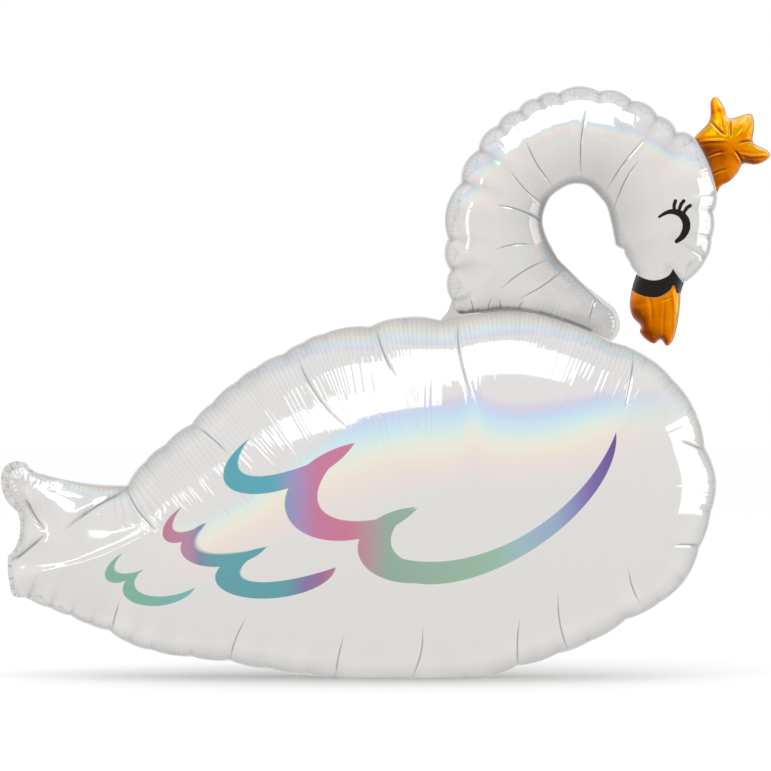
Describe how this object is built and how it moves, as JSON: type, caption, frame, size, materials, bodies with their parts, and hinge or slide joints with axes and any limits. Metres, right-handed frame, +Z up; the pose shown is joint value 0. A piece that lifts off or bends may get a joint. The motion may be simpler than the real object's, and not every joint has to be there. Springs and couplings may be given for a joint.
{
  "type": "swan foil balloon",
  "caption": "Blown-up foil balloon shaped as a resting swan with a curved neck, bowed head and small crown, flat on its belly.",
  "frame": {"origin": "centre of the bounding box's underside, on the surface that the belly rests on", "axes": "+X towards the swan's chest, +Z up, and Y across the balloon, with the seam in the plane Y = 0"},
  "size_m": [0.7286, 0.259, 0.5586],
  "materials": {
    "foil": "pearl white metallised film with a rainbow sheen",
    "gold_print": "orange gold metallised film",
    "black_print": "gloss black ink",
    "feather_print": "teal, green, pink and violet translucent ink over foil"
  },
  "bodies": {
    "root": {"swan_balloon": "foil"}
  },
  "joints": []
}
